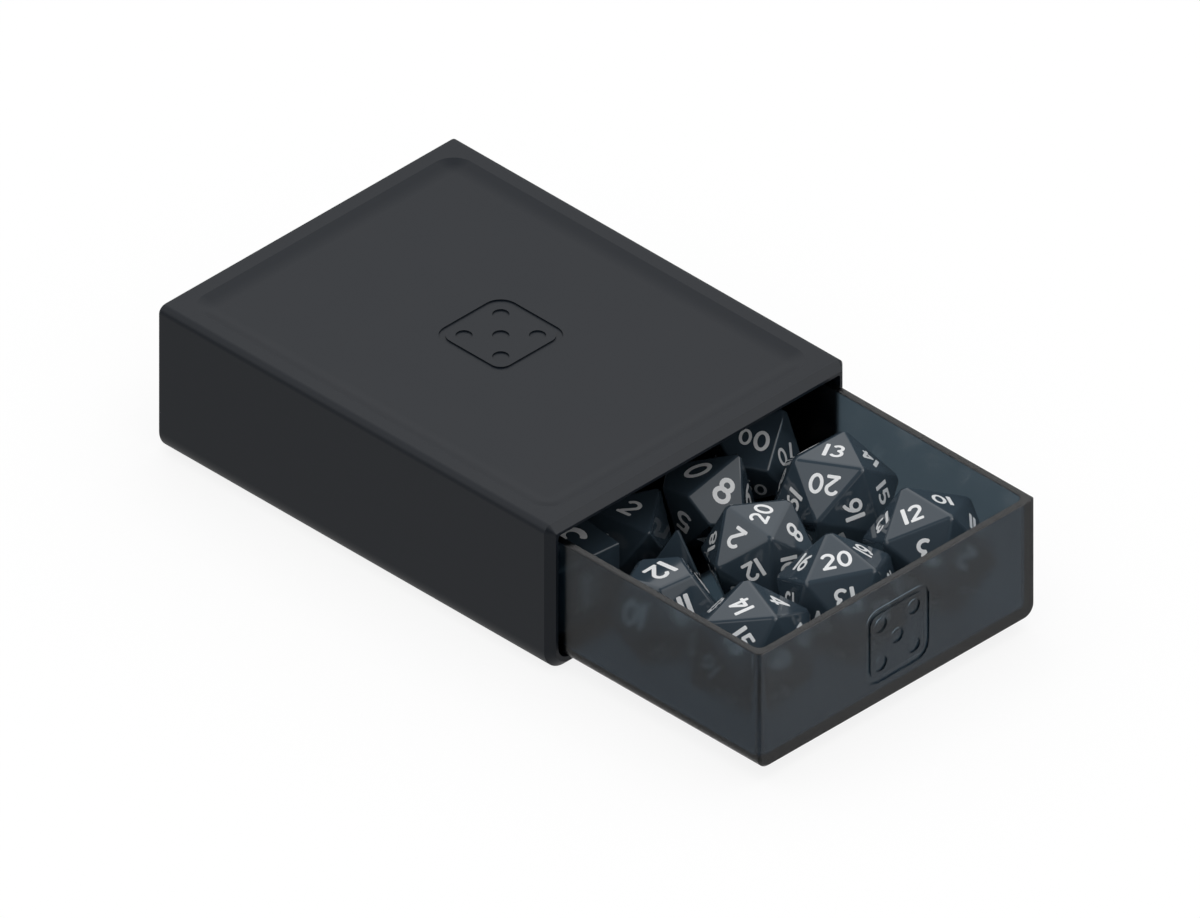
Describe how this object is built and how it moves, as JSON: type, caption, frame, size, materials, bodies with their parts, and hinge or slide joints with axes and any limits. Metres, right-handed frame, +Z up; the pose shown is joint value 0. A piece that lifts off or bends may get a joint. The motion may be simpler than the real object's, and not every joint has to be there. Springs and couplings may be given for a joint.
{
  "type": "dice box",
  "caption": "Slide box for gaming dice: a smoky clear drawer with polyhedral dice in its front half, half open in a dark moulded sleeve.",
  "frame": {"origin": "centre of the sleeve's flat underside, which rests on the table", "axes": "+X along the slide, towards the drawer's front; +Y across the box; +Z up"},
  "size_m": [0.1649, 0.0826, 0.0351],
  "materials": {
    "sleeve_plastic": "dark grey, fine satin moulding",
    "drawer_plastic": "smoky grey see-through plastic, lightly frosted outside",
    "dice_plastic": "polished dark slate blue",
    "numeral_white": "white inlaid numbers"
  },
  "bodies": {
    "sleeve_body": {"sleeve": "sleeve_plastic"},
    "drawer_body": {"drawer": "drawer_plastic", "count_die_front": "dice_plastic", "count_die_right": "dice_plastic", "count_die_left": "dice_plastic", "count_die_back": "dice_plastic", "twenty_sided_die": "dice_plastic", "twelve_sided_die": "dice_plastic", "ten_sided_die": "dice_plastic", "tens_die": "dice_plastic", "eight_sided_die": "dice_plastic", "six_sided_die": "dice_plastic", "four_sided_die": "dice_plastic"}
  },
  "joints": [
    {"name": "drawer_slide", "type": "slide", "parent": "sleeve_body", "child": "drawer_body", "axis": [1, 0, 0], "range_m": [-0.0549, 0.035]}
  ]
}
